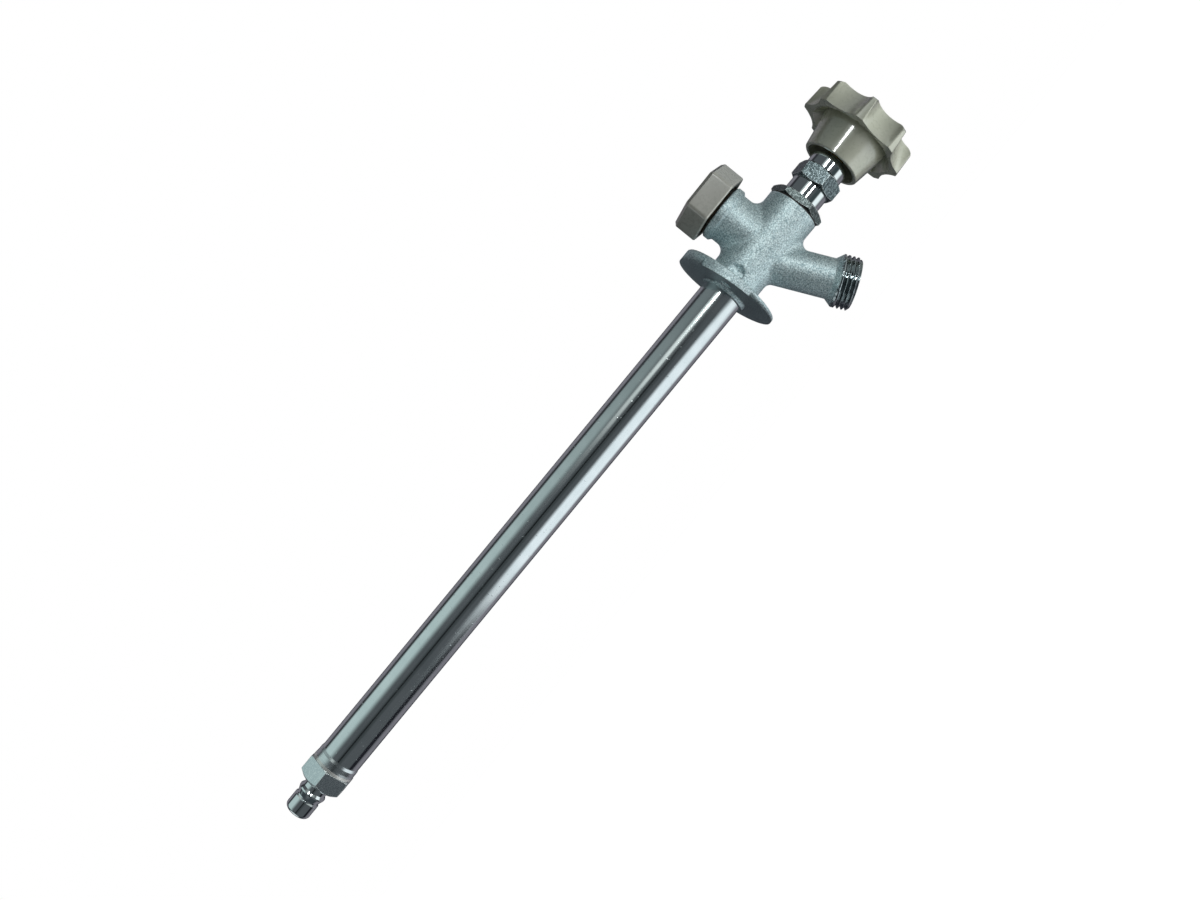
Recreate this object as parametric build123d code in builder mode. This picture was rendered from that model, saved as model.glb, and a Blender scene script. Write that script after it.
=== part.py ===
from build123d import *
import os
from math import cos, pi, radians, sin, sqrt

# Frost-free wall hydrant with a vacuum breaker. Millimetres.
# +X runs along the tube, out of the wall and through the handle. +Z points to the breaker.
# The origin is on the tube's axis, in the plane of the flange's wall face.
os.makedirs("parts", exist_ok=True)

# Supply tube and wall flange
tube_radius = 11.1
tube_bore_radius = 10.0
tube_end = 9.0
flange_radius = 27.6
flange_front = 4.4
flange_pitch = 4.5
screw_hole_y = 17.0
screw_hole_z = 1.2
screw_hole_radius = 2.8

# Head casting
barrel_radius_wall = 13.95
barrel_radius_front = 14.2
barrel_end = 53.2
chamber_radius = 10.0
bonnet_thread_radius = 10.6
bonnet_thread_x = 38.5
neck_x = 30.0
neck_radius = 13.1
neck_lip_radius = 14.6
neck_top = 27.4
neck_bore_radius = 11.0
neck_ledge_z = 19.0
passage_radius = 6.8

# Hose spout
spout_x = 21.9
spout_angle = 24.5
spout_radius = 10.35
spout_length = 53.0
spout_bore_radius = 8.4
spout_passage_radius = 7.0
spout_bore_depth = 26.0
hose_thread_radius = 13.45
hose_thread_length = 9.0

# Bonnet and packing nut
gasket_thickness = 0.7
bonnet_flats = 26.4
collar_end = 58.7
bonnet_barrel_radius = 10.2
nut_start = 66.8
nut_flats = 22.2
nut_hex_end = 76.5
nut_end = 84.5
nut_dome_length = 2.0
nut_dome_drop = 1.7
nut_crown_radius = 10.1
nut_thread_radius = 8.8
packing_radius = 7.2
packing_start = 70.5
packing_end = 76.5
bonnet_end = 77.0
gland_end = 80.25

# Stem
rod_radius = 3.2
rod_start = -301.5
screw_radius = 6.2
screw_start = 39.5
screw_end = 54.0
journal_radius = 4.76
stem_square = 6.6
stem_shoulder = 96.7
stem_end = 109.3
clip_x = -297.1
guide_x = -155.0

# Handle
skirt_start = 83.1
skirt_radius = 15.9
rim_back = 98.6
rim_front = 112.2
lobe_count = 8
lobe_turn = 176.0
tip_radius = 29.1
hub_front = 110.2

# Inlet fitting and seat
hex_flats = 23.2
hex_tube_side = -311.8
hex_barb_side = -322.4
barb_end = -341.7
barb_radius = 7.0
barb_bore_radius = 4.4
check_bore_radius = 5.6
seat_x = -312.4
washer_front = -308.7
washer_radius = 7.2

# Vacuum breaker
cap_flats = 34.4
cap_bottom = 28.6
cap_top = 42.0
cap_turn = -5.0
insert_flats = 24.0
float_top = 21.3
post_radius = 3.0

# Gap of a running fit
fit = 0.05


def turned(profile, axis=Axis.X, plane=Plane.XZ):
    """A turned piece from its half section, given as (along the axis, radius) points."""
    with BuildPart() as piece:
        with BuildSketch(plane):
            with BuildLine():
                Polyline(*profile, close=True)
            make_face()
        revolve(axis=axis)
    return piece.part


def ring(start, end, outer, inner):
    """A washer or sleeve round the tube's axis."""
    return turned([(start, inner), (start, outer), (end, outer), (end, inner)])


def upright_plane():
    """Half-section plane of the vacuum breaker: local x is height, local y is radius."""
    return Plane(origin=(neck_x, 0, 0), x_dir=(0, 0, 1), z_dir=(0, -1, 0))


def hexagon_collar(start, end, flats, turn, start_cone, end_cone):
    """Hexagon bar whose corners are turned off; a cone is (radius at the face, length)."""
    corner = flats / sqrt(3)
    with BuildPart() as collar:
        with BuildSketch(Plane.YZ.offset(start)):
            RegularPolygon(corner, 6, rotation=turn)
        extrude(amount=end - start)
        with BuildSketch(Plane.XZ):
            with BuildLine():
                Polyline(
                    (start, 0),
                    (start, start_cone[0]),
                    (start + start_cone[1], corner),
                    (end - end_cone[1], corner),
                    (end, end_cone[0]),
                    (end, 0),
                    close=True,
                )
            make_face()
        revolve(axis=Axis.X, mode=Mode.INTERSECT)
    return collar.part


def lobe_outline(x, tip, valley, scallop, nose):
    """Wheel outline at one station: a disc with a round scallop between two lobes."""
    with BuildSketch(Plane.YZ.offset(x)) as outline:
        Circle(tip)
        first_scallop = lobe_turn + 180 / lobe_count
        with PolarLocations(valley + scallop, lobe_count, start_angle=first_scallop):
            Circle(scallop, mode=Mode.SUBTRACT)
        if nose:
            fillet(outline.vertices(), radius=nose)
    return outline.sketch


def helix_wire(radius, start, end, turns):
    """Helix along X as a chain of tangent arcs, two to each quarter turn."""
    rise = (end - start) / (2 * pi * turns)
    points = []
    tangents = []
    for quarter in range(4 * turns + 1):
        angle = quarter * pi / 2
        points.append(Vector(start + rise * angle, radius * cos(angle), radius * sin(angle)))
        tangents.append(Vector(rise, -radius * sin(angle), radius * cos(angle)).normalized())
    with BuildLine() as path:
        for here, there, leave, arrive in zip(points, points[1:], tangents, tangents[1:]):
            chord = there - here
            both = leave + arrive
            spread = 2 * (1 - leave.dot(arrive))
            along = chord.dot(both)
            reach = (sqrt(along**2 + spread * chord.dot(chord)) - along) / spread
            joint = (here + leave * reach + there - arrive * reach) / 2
            half = TangentArc(here, joint, tangent=leave)
            TangentArc(joint, there, tangent=half % 1)
    return path.wires()[0]


def save(part, name):
    """Label a finished piece and write it under its node's name."""
    part.label = name
    export_step(part, f"parts/{name}.step")


# Planes and axes of the slanted features
wall_plane = Plane(
    origin=(0, 0, 0),
    x_dir=(0, 1, 0),
    z_dir=(cos(radians(flange_pitch)), 0, sin(radians(flange_pitch))),
)
spout_direction = (sin(radians(spout_angle)), 0, -cos(radians(spout_angle)))
spout_plane = Plane(origin=(spout_x, 0, 0), x_dir=(0, 1, 0), z_dir=spout_direction)
spout_axis = Axis((spout_x, 0, 0), spout_direction)
spout_section = Plane(origin=(spout_x, 0, 0), x_dir=spout_direction, z_dir=(0, 1, 0))
neck_axis = Axis((neck_x, 0, 0), (0, 0, 1))


# Head casting: barrel, spout, breaker neck and wall flange
neck_flare_z = 22.4
lip_cone = 1.4
lip_chamfer = 0.6
neck_lip = turned(
    [
        (neck_flare_z - 1, 0),
        (neck_flare_z - 1, neck_radius),
        (neck_flare_z, neck_radius),
        (neck_flare_z + lip_cone, neck_lip_radius),
        (neck_top - lip_chamfer, neck_lip_radius),
        (neck_top, neck_lip_radius - lip_chamfer),
        (neck_top, 0),
    ],
    neck_axis,
    upright_plane(),
)
hose_cone_start = 40.2
hose_thread_start = spout_length - hose_thread_length
hose_thread_lead = 1.3
hose_end = turned(
    [
        (hose_cone_start - 1, 0),
        (hose_cone_start - 1, spout_radius),
        (hose_cone_start, spout_radius),
        (hose_thread_start, hose_thread_radius),
        (spout_length - hose_thread_lead, hose_thread_radius),
        (spout_length, hose_thread_radius - hose_thread_lead),
        (spout_length, 0),
    ],
    spout_axis,
    spout_section,
)
flange_edge_radius = 0.7
# Wall flange: a wedge, because its wall face leans while its front stands square to the tube
with BuildPart() as wall_flange:
    with BuildSketch(Plane.YZ.offset(-flange_front)):
        Circle(flange_radius)
    extrude(amount=2 * flange_front)
    split(bisect_by=wall_plane, keep=Keep.TOP)
    fillet(wall_flange.edges().group_by(Axis.X)[-1], radius=flange_edge_radius)
socket_radius = tube_radius + 0.03
socket_depth = tube_end + 0.05
socket_lip_radius = 12.9
socket_lip_edge = 12.35
socket_lip_x = -2.0
socket_lip = turned(
    [
        (socket_lip_x, 0),
        (socket_lip_x, socket_lip_edge),
        (flange_front - 1, socket_lip_radius),
        (flange_front - 1, 0),
    ]
)
barrel_bores = turned(
    [
        (socket_lip_x - 1, 0),
        (socket_lip_x - 1, socket_radius),
        (socket_depth, socket_radius),
        (socket_depth, chamber_radius),
        (bonnet_thread_x, chamber_radius),
        (bonnet_thread_x, bonnet_thread_radius),
        (barrel_end + 1, bonnet_thread_radius),
        (barrel_end + 1, 0),
    ]
)
neck_bores = turned(
    [
        (0, 0),
        (0, passage_radius),
        (neck_ledge_z, passage_radius),
        (neck_ledge_z, neck_bore_radius),
        (neck_top + 1, neck_bore_radius),
        (neck_top + 1, 0),
    ],
    neck_axis,
    upright_plane(),
)
spout_bores = turned(
    [
        (0, 0),
        (0, spout_passage_radius),
        (spout_length - spout_bore_depth, spout_passage_radius),
        (spout_length - spout_bore_depth, spout_bore_radius),
        (spout_length + 1, spout_bore_radius),
        (spout_length + 1, 0),
    ],
    spout_axis,
    spout_section,
)
spout_root_radius = 4.0
neck_root_radius = 5.0
pocket_floor = 12.2
pocket_length = 11.7
pocket_width = 8.0
pocket_corner = 2.0
with BuildPart() as valve_body:
    with BuildSketch(Plane.XZ):
        with BuildLine():
            Polyline(
                (flange_front / 2, 0),
                (flange_front / 2, barrel_radius_wall),
                (barrel_end, barrel_radius_front),
                (barrel_end, 0),
                close=True,
            )
        make_face()
    revolve(axis=Axis.X)
    with BuildSketch(spout_plane):
        Circle(spout_radius)
    extrude(amount=hose_cone_start)
    fillet(valve_body.edges(Select.LAST).filter_by(GeomType.BSPLINE), radius=spout_root_radius)
    with BuildSketch(Plane(origin=(neck_x, 0, 0))):
        Circle(neck_radius)
    extrude(amount=neck_flare_z)
    fillet(valve_body.edges(Select.LAST).filter_by(GeomType.BSPLINE), radius=neck_root_radius)
    add(neck_lip)
    add(hose_end)
    # Pockets beside the barrel, so that a screwdriver reaches the flange screws
    for side in (1, -1):
        with BuildSketch(Plane.XZ.offset(side * pocket_floor)):
            with Locations((0, screw_hole_z)):
                RectangleRounded(2 * pocket_length, pocket_width, pocket_corner)
        extrude(amount=side * flange_radius, mode=Mode.SUBTRACT)
    add(wall_flange)
    add(socket_lip)
    # Bores
    add(barrel_bores, mode=Mode.SUBTRACT)
    add(neck_bores, mode=Mode.SUBTRACT)
    add(spout_bores, mode=Mode.SUBTRACT)
    with BuildSketch(Plane.YZ.offset(-flange_radius / 2)):
        with Locations((screw_hole_y, screw_hole_z), (-screw_hole_y, screw_hole_z)):
            Circle(screw_hole_radius)
    extrude(amount=flange_radius, mode=Mode.SUBTRACT)
save(valve_body.part, "valve_body")


# Supply tube, belled where it stands against the inlet fitting's hexagon
bell_radius = 11.75
bell_end = -309.0
swage_radius = 11.45
swage_bore_radius = 10.35
swage_end = -306.6
swage_cone = 1.5
tube_start = hex_tube_side + fit
supply_tube = turned(
    [
        (tube_start, swage_bore_radius),
        (tube_start, bell_radius),
        (bell_end, swage_radius),
        (swage_end, swage_radius),
        (swage_end + swage_cone, tube_radius),
        (tube_end, tube_radius),
        (tube_end, tube_bore_radius),
        (swage_end + swage_cone, tube_bore_radius),
        (swage_end, swage_bore_radius),
    ]
)
save(supply_tube, "supply_tube")


# Inlet fitting: hexagon, crimp barb, valve seat and check chamber
spigot_radius = swage_bore_radius - fit
spigot_bore_radius = 9.3
spigot_end = swage_end - 0.5
seat_floor = -313.5
seat_outer = 6.8
barb_bore_end = -330.4
check_port_radius = 3.9
check_cone_start = -326.4
check_cone_end = -328.1
barb_side_cone = (10.6, 2.2)
tube_side_cone = (12.9, 0.4)
inlet_hexagon = hexagon_collar(
    hex_barb_side, hex_tube_side, hex_flats, 0, barb_side_cone, tube_side_cone
)
spigot = ring(hex_tube_side - 1, spigot_end, spigot_radius, spigot_bore_radius)
inlet_bores = turned(
    [
        (barb_end - 1, 0),
        (barb_end - 1, barb_bore_radius),
        (barb_bore_end, barb_bore_radius),
        (barb_bore_end, check_port_radius),
        (check_cone_end, check_port_radius),
        (check_cone_start, check_bore_radius),
        (seat_x, check_bore_radius),
        (seat_x, seat_outer),
        (seat_floor, seat_outer),
        (seat_floor, spigot_bore_radius),
        (spigot_end + 1, spigot_bore_radius),
        (spigot_end + 1, 0),
    ]
)
barb_nose = 2.4
groove_x = -332.1
groove_radius = 6.4
rib_x = -328.2
rib_radius = 7.5
neck_start = -326.5
inlet_neck_radius = 6.6
with BuildPart() as inlet_fitting:
    add(inlet_hexagon)
    with BuildSketch(Plane.XZ):
        with BuildLine():
            nose = ThreePointArc(
                (barb_end, barb_radius - barb_nose),
                (barb_end + 0.3 * barb_nose, barb_radius - 0.3 * barb_nose),
                (barb_end + barb_nose, barb_radius),
            )
            Polyline(
                nose @ 1,
                (groove_x - 0.6, barb_radius),
                (groove_x, groove_radius),
                (groove_x + 0.6, groove_radius),
                (groove_x + 2.2, barb_radius),
                (rib_x - 0.4, rib_radius),
                (rib_x + 0.4, rib_radius),
                (neck_start, inlet_neck_radius),
                (hex_barb_side + 1, inlet_neck_radius),
                (hex_barb_side + 1, 0),
                (barb_end, 0),
                nose @ 0,
            )
        make_face()
    revolve(axis=Axis.X)
    add(spigot)
    add(inlet_bores, mode=Mode.SUBTRACT)
save(inlet_fitting.part, "inlet_fitting")


# Inlet check: poppet, seal, spring and pressed-in guide
poppet_radius = 5.2
poppet_front = -325.9
poppet_back = -323.7
poppet_nose = 3.58
poppet_nose_length = 2.3
poppet_stem = 1.4
poppet_tip = -316.8
retainer_start = -318.4
retainer_end = -315.4
retainer_hub = 2.8
retainer_arm = 1.4
check_poppet = turned(
    [
        (poppet_front - poppet_nose_length, 0),
        (poppet_front - poppet_nose_length, poppet_nose - 0.5),
        (poppet_front - poppet_nose_length + 0.5, poppet_nose),
        (poppet_front, poppet_nose),
        (poppet_front, poppet_radius - 0.3),
        (poppet_front + 0.3, poppet_radius),
        (poppet_back, poppet_radius),
        (poppet_back, poppet_stem),
        (poppet_tip - 0.3, poppet_stem),
        (poppet_tip, poppet_stem - 0.3),
        (poppet_tip, 0),
    ]
)
save(check_poppet, "check_poppet")

seal_wire = 0.7
seal_gap = 0.02
with BuildPart() as check_seal:
    with BuildSketch(Plane.XZ):
        with Locations((poppet_front - seal_wire - seal_gap, poppet_nose + seal_wire + seal_gap)):
            Circle(seal_wire)
    revolve(axis=Axis.X)
save(check_seal.part, "check_seal")

spring_radius = 2.2
spring_wire = 0.25
spring_turns = 4
spring_start = poppet_back + spring_wire + 0.03
spring_end = retainer_start - spring_wire - 0.03
spring_path = helix_wire(spring_radius, spring_start, spring_end, spring_turns)
with BuildPart() as check_spring:
    with BuildSketch(Plane(origin=spring_path @ 0, z_dir=spring_path % 0)):
        Circle(spring_wire)
    sweep(path=spring_path)
save(check_spring.part, "check_spring")
path_points = [spring_path.position_at(i / 400) for i in range(401)]
apart = [
    (here - there).length
    for i, here in enumerate(path_points)
    for there in path_points[i + 60 :]
]
print("check spring, least gap between turns", round(min(apart) - 2 * spring_wire, 3))

with BuildPart() as check_retainer:
    with BuildSketch(Plane.YZ.offset(retainer_start)):
        Circle(check_bore_radius - 0.02)
        Circle(check_bore_radius - 1.1, mode=Mode.SUBTRACT)
        with PolarLocations(check_bore_radius / 2, 3):
            Rectangle(check_bore_radius - 0.6, retainer_arm)
        Circle(retainer_hub)
        Circle(poppet_stem + fit, mode=Mode.SUBTRACT)
    extrude(amount=retainer_end - retainer_start)
save(check_retainer.part, "check_retainer")


# Seat washer, its screw, and the swivel holder on the rod's end
holder_radius = 7.6
holder_disc = 4.0
holder_hub_radius = 5.2
holder_end = -292.9
holder_bore_end = rod_start - 0.1
washer_screw_radius = 2.0
clip_width = 1.0
clip_gap = 0.15
clip_groove_outer = 4.05
washer_holder = turned(
    [
        (washer_front, washer_screw_radius + fit),
        (washer_front, holder_radius),
        (washer_front + holder_disc, holder_radius),
        (washer_front + holder_disc, holder_hub_radius),
        (holder_end, holder_hub_radius),
        (holder_end, rod_radius + fit),
        (clip_x + clip_width + clip_gap, rod_radius + fit),
        (clip_x + clip_width + clip_gap, clip_groove_outer),
        (clip_x - clip_gap, clip_groove_outer),
        (clip_x - clip_gap, rod_radius + fit),
        (holder_bore_end, rod_radius + fit),
        (holder_bore_end, 0),
        (holder_bore_end - 1.9, 0),
        (holder_bore_end - 1.9, washer_screw_radius + fit),
    ]
)
save(washer_holder, "washer_holder")

clip_groove_inner = 2.65
clip_inner = 2.75
clip_outer = 3.98
with BuildPart() as swivel_clip:
    with BuildSketch(Plane.YZ.offset(clip_x)):
        Circle(clip_outer)
        Circle(clip_inner, mode=Mode.SUBTRACT)
        with Locations((clip_outer, 0)):
            Rectangle(2 * clip_outer, clip_inner, mode=Mode.SUBTRACT)
    extrude(amount=clip_width)
save(swivel_clip.part, "swivel_clip")

washer_back = seat_x + fit
seat_washer = ring(washer_back, washer_front, washer_radius, washer_screw_radius + fit)
save(seat_washer, "seat_washer")

screw_head_radius = 3.9
screw_head_height = 1.65
screw_slot_width = 1.0
screw_slot_depth = 0.8
with BuildPart() as washer_screw:
    with BuildSketch(Plane.YZ.offset(washer_back)):
        Circle(screw_head_radius)
    extrude(amount=-screw_head_height)
    fillet(washer_screw.edges().group_by(Axis.X)[0], radius=0.8)
    with BuildSketch(Plane.YZ.offset(washer_back - screw_head_height)):
        Rectangle(2 * screw_head_radius, screw_slot_width)
    extrude(amount=screw_slot_depth, mode=Mode.SUBTRACT)
    with BuildSketch(Plane.YZ.offset(washer_back)):
        Circle(washer_screw_radius)
    extrude(amount=holder_bore_end - 2.0 - washer_back)
save(washer_screw.part, "washer_screw")


# Stem: rod, screw, packing journal and square
rod_thread_hole = 2.45
rod_hole_depth = 11.0
stem_turning = turned(
    [
        (rod_start, 0),
        (rod_start, rod_radius - 0.4),
        (rod_start + 0.4, rod_radius),
        (clip_x - clip_gap, rod_radius),
        (clip_x - clip_gap, clip_groove_inner),
        (clip_x + clip_width + clip_gap, clip_groove_inner),
        (clip_x + clip_width + clip_gap, rod_radius),
        (screw_start - 3, rod_radius),
        (screw_start, screw_radius),
        (screw_end, screw_radius),
        (screw_end + 0.8, journal_radius),
        (stem_shoulder, journal_radius),
        (stem_shoulder, 0),
    ]
)
with BuildPart() as stem:
    add(stem_turning)
    with BuildSketch(Plane.YZ.offset(stem_shoulder - 1)):
        Rectangle(stem_square, stem_square)
    extrude(amount=stem_end - stem_shoulder + 1)
    with BuildSketch(Plane.YZ.offset(stem_end)):
        Circle(rod_thread_hole)
    extrude(amount=-rod_hole_depth, mode=Mode.SUBTRACT)
save(stem.part, "stem")

guide_length = 10.0
guide_reach = 9.6
guide_arm = 1.8
with BuildPart() as stem_guide:
    with BuildSketch(Plane.YZ.offset(guide_x)):
        Circle(rod_radius + guide_arm)
        with PolarLocations(guide_reach / 2, 4):
            Rectangle(guide_reach, guide_arm)
        Circle(rod_radius + 0.02, mode=Mode.SUBTRACT)
    extrude(amount=guide_length)
save(stem_guide.part, "stem_guide")


# Bonnet with its gasket
gasket_end = barrel_end + gasket_thickness
bonnet_gasket = ring(barrel_end, gasket_end, barrel_radius_front - 0.05, bonnet_thread_radius)
save(bonnet_gasket, "bonnet_gasket")

stop_x = 63.0
bonnet_turn = 26.0
collar_back_cone = (12.5, 1.3)
collar_front_cone = (12.3, 1.4)
bonnet_collar = hexagon_collar(
    gasket_end, collar_end, bonnet_flats, bonnet_turn, collar_back_cone, collar_front_cone
)
bonnet_turning = turned(
    [
        (bonnet_thread_x + 0.3, screw_radius + fit),
        (bonnet_thread_x + 0.3, bonnet_thread_radius - fit),
        (gasket_end + 1, bonnet_thread_radius - fit),
        (gasket_end + 1, bonnet_barrel_radius),
        (nut_start - 0.2, bonnet_barrel_radius),
        (nut_start - 0.2, nut_thread_radius),
        (bonnet_end, nut_thread_radius),
        (bonnet_end, packing_radius),
        (packing_start, packing_radius),
        (packing_start, journal_radius + fit),
        (stop_x, journal_radius + fit),
        (stop_x, screw_radius + fit),
    ]
)
bonnet_bore = ring(gasket_end - 1, collar_end + 1, screw_radius + fit, 0)
with BuildPart() as bonnet:
    add(bonnet_collar)
    add(bonnet_bore, mode=Mode.SUBTRACT)
    add(bonnet_turning)
save(bonnet.part, "bonnet")


# Packing, gland and packing nut
stem_packing = ring(packing_start, packing_end, packing_radius - 0.02, journal_radius + 0.02)
save(stem_packing, "stem_packing")

gland_flange_radius = 8.6
packing_gland = turned(
    [
        (packing_end, journal_radius + fit),
        (packing_end, packing_radius - fit),
        (bonnet_end, packing_radius - fit),
        (bonnet_end, gland_flange_radius),
        (gland_end, gland_flange_radius),
        (gland_end, journal_radius + fit),
    ]
)
save(packing_gland, "packing_gland")

nut_turn = 18.0
nut_back_cone = (10.3, 1.6)
nut_front_cone = (10.2, 1.9)
nut_hexagon = hexagon_collar(
    nut_start, nut_hex_end, nut_flats, nut_turn, nut_back_cone, nut_front_cone
)
nut_crown = turned(
    [
        (nut_hex_end - 1, 0),
        (nut_hex_end - 1, nut_crown_radius),
        (nut_end - nut_dome_length, nut_crown_radius),
        (nut_end, nut_crown_radius - nut_dome_drop),
        (nut_end, 0),
    ]
)
nut_bores = turned(
    [
        (nut_start - 1, 0),
        (nut_start - 1, nut_thread_radius + fit),
        (gland_end, nut_thread_radius + fit),
        (gland_end, journal_radius + 0.2),
        (nut_end + 1, journal_radius + 0.2),
        (nut_end + 1, 0),
    ]
)
with BuildPart() as packing_nut:
    add(nut_hexagon)
    add(nut_crown)
    add(nut_bores, mode=Mode.SUBTRACT)
save(packing_nut.part, "packing_nut")


# Handwheel: thin lobed rim, open lobes, and a hub with a deep skirt
rim_wall = 1.6
front_tip_radius = 28.4
front_valley_radius = 20.3
front_scallop = 10.5
back_valley_radius = 25.4
back_scallop = 20.0
crown_radius = 4.6
web_back = 104.7
hub_shoulder_radius = 18.9
hub_crown = 111.4
hub_ceiling = 107.7
skirt_wall = 1.9
skirt_flare_x = 95.7
skirt_flare_radius = 17.9
shoulder_x = 99.7
shoulder_start_radius = 18.5
shoulder_end = 102.7
crown_edge_radius = 17.0
crown_top_radius = 14.5
screw_seat_radius = 8.5
socket_wall_radius = 8.0
back_nose = 1.2
front_nose = 0.7
back_outline = lobe_outline(rim_back, tip_radius, back_valley_radius, back_scallop, back_nose)
front_outline = lobe_outline(rim_front, front_tip_radius, front_valley_radius, front_scallop, front_nose)
lobe_openings = lobe_outline(
    rim_back - 1,
    front_tip_radius - 2.4,
    front_valley_radius - rim_wall,
    front_scallop + rim_wall,
    0,
)
rim_cone = turned(
    [
        (rim_back - 1, 0),
        (rim_back - 1, back_valley_radius - rim_wall + 0.4),
        (web_back, hub_shoulder_radius + 1.2),
        (web_back, 0),
    ]
)
hub_outside = turned(
    [
        (skirt_start, 0),
        (skirt_start, skirt_radius - 0.4),
        (skirt_start + 0.4, skirt_radius),
        (skirt_flare_x, skirt_flare_radius),
        (shoulder_x, shoulder_start_radius),
        (shoulder_end, hub_shoulder_radius),
        (hub_crown - 3, hub_shoulder_radius),
        (hub_crown - 0.8, crown_edge_radius),
        (hub_crown, crown_top_radius),
        (hub_crown - 0.4, screw_seat_radius + 1),
        (hub_front, screw_seat_radius),
        (hub_front, 0),
    ]
)
hub_inside = turned(
    [
        (skirt_start - 1, 0),
        (skirt_start - 1, skirt_radius - skirt_wall - 0.1),
        (skirt_start, skirt_radius - skirt_wall),
        (shoulder_x, shoulder_start_radius - 2.2),
        (web_back, socket_wall_radius + 7.4),
        (hub_ceiling, socket_wall_radius + 4),
        (hub_ceiling, socket_wall_radius + 1.5),
        (hub_ceiling - 1, socket_wall_radius),
        (stem_shoulder, socket_wall_radius - 0.6),
        (stem_shoulder, 0),
    ]
)
envelope_edge = rim_front - crown_radius
with BuildPart() as handle:
    add(back_outline)
    add(front_outline)
    loft()
    with BuildSketch(Plane.XZ):
        with BuildLine():
            outer = Line((rim_back - 1, 0), (rim_back - 1, tip_radius + 0.1))
            side = Line(outer @ 1, (envelope_edge, tip_radius + 0.1))
            crown = JernArc(side @ 1, side % 1, crown_radius, -90)
            Polyline(crown @ 1, (rim_front, 0), outer @ 0)
        make_face()
    revolve(axis=Axis.X, mode=Mode.INTERSECT)
    extrude(lobe_openings, amount=rim_front - rim_back + 2, dir=(1, 0, 0), mode=Mode.SUBTRACT)
    add(rim_cone, mode=Mode.SUBTRACT)
    add(hub_outside)
    add(hub_inside, mode=Mode.SUBTRACT)
    with BuildSketch(Plane.YZ.offset(stem_shoulder - 1)):
        Rectangle(stem_square + 0.1, stem_square + 0.1)
    extrude(amount=hub_front - stem_shoulder + 2, mode=Mode.SUBTRACT)
save(handle.part, "handle")

handle_screw_head = 4.6
handle_screw_height = 2.0
handle_screw_length = 10.0
cross_length = 5.6
cross_width = 1.1
cross_depth = 1.3
with BuildPart() as handle_screw:
    with BuildSketch(Plane.YZ.offset(hub_front)):
        Circle(handle_screw_head)
    extrude(amount=handle_screw_height)
    fillet(handle_screw.edges().group_by(Axis.X)[-1], radius=0.6 * handle_screw_height)
    with BuildSketch(Plane.YZ.offset(hub_front + handle_screw_height)):
        Rectangle(cross_length, cross_width)
        Rectangle(cross_width, cross_length)
    extrude(amount=-cross_depth, mode=Mode.SUBTRACT)
    with BuildSketch(Plane.YZ.offset(hub_front)):
        Circle(rod_thread_hole - fit)
    extrude(amount=-handle_screw_length)
save(handle_screw.part, "handle_screw")


# Vacuum breaker: insert, gasket, float, seal and cap
gasket_top = neck_top + 0.6
breaker_gasket = turned(
    [
        (neck_top, neck_bore_radius + 0.05),
        (neck_top, neck_radius),
        (gasket_top, neck_radius),
        (gasket_top, neck_bore_radius + 0.05),
    ],
    neck_axis,
    upright_plane(),
)
save(breaker_gasket, "breaker_gasket")

insert_bottom = 21.0
insert_thread_radius = neck_bore_radius - fit
insert_bore_radius = 9.3
insert_hex_top = 31.5
vent_lip_z = 26.6
vent_lip_inner = 5.8
vent_lip_outer = 6.8
vent_circle = 4.45
vent_radius = 1.05
post_top = 38.5
pin_radius = 1.5
pin_gap = 0.08
pin_bore_top = 37.3
insert_core = turned(
    [
        (insert_bottom, insert_bore_radius),
        (insert_bottom, insert_thread_radius),
        (gasket_top + 1, insert_thread_radius),
        (gasket_top + 1, post_radius),
        (post_top, post_radius),
        (post_top, 0),
        (gasket_top, 0),
        (gasket_top, vent_lip_inner),
        (vent_lip_z, vent_lip_inner),
        (vent_lip_z, vent_lip_outer),
        (gasket_top, vent_lip_outer),
        (gasket_top, insert_bore_radius),
    ],
    neck_axis,
    upright_plane(),
)
with BuildPart() as breaker_insert:
    with BuildSketch(Plane(origin=(neck_x, 0, gasket_top))):
        RegularPolygon(insert_flats / 2, 6, major_radius=False)
    extrude(amount=insert_hex_top - gasket_top)
    chamfer(breaker_insert.edges().group_by(Axis.Z)[-1], length=0.6)
    add(insert_core)
    # Blind bore for the float's pin, and the air vents round it
    with BuildSketch(Plane(origin=(neck_x, 0, gasket_top - 1))):
        Circle(pin_radius + pin_gap)
    extrude(amount=pin_bore_top - gasket_top + 1, mode=Mode.SUBTRACT)
    with BuildSketch(Plane(origin=(neck_x, 0, gasket_top - 1))):
        with PolarLocations(vent_circle, 6):
            Circle(vent_radius)
    extrude(amount=insert_hex_top - gasket_top + 2, mode=Mode.SUBTRACT)
save(breaker_insert.part, "breaker_insert")

float_radius = 8.4
float_pin_top = 34.0
float_bottom = neck_ledge_z + 0.05
fin_reach = 6.4
fin_bottom = 13.0
fin_thickness = 1.2
float_turning = turned(
    [
        (float_bottom, 0),
        (float_bottom, float_radius),
        (float_top, float_radius),
        (float_top, pin_radius),
        (float_pin_top - 0.4, pin_radius),
        (float_pin_top, pin_radius - 0.4),
        (float_pin_top, 0),
    ],
    neck_axis,
    upright_plane(),
)
with BuildPart() as breaker_float:
    add(float_turning)
    with BuildSketch(Plane(origin=(neck_x, 0, fin_bottom))):
        Rectangle(2 * fin_reach, fin_thickness)
        Rectangle(fin_thickness, 2 * fin_reach)
    extrude(amount=float_bottom + 0.5 - fin_bottom)
save(breaker_float.part, "breaker_float")

float_disc_radius = 7.6
float_disc_top = 23.4
float_disc = turned(
    [
        (float_top, pin_radius + 0.02),
        (float_top, float_disc_radius),
        (float_disc_top - 0.4, float_disc_radius),
        (float_disc_top, float_disc_radius - 0.4),
        (float_disc_top, pin_radius + 0.02),
    ],
    neck_axis,
    upright_plane(),
)
save(float_disc, "float_disc")

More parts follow.
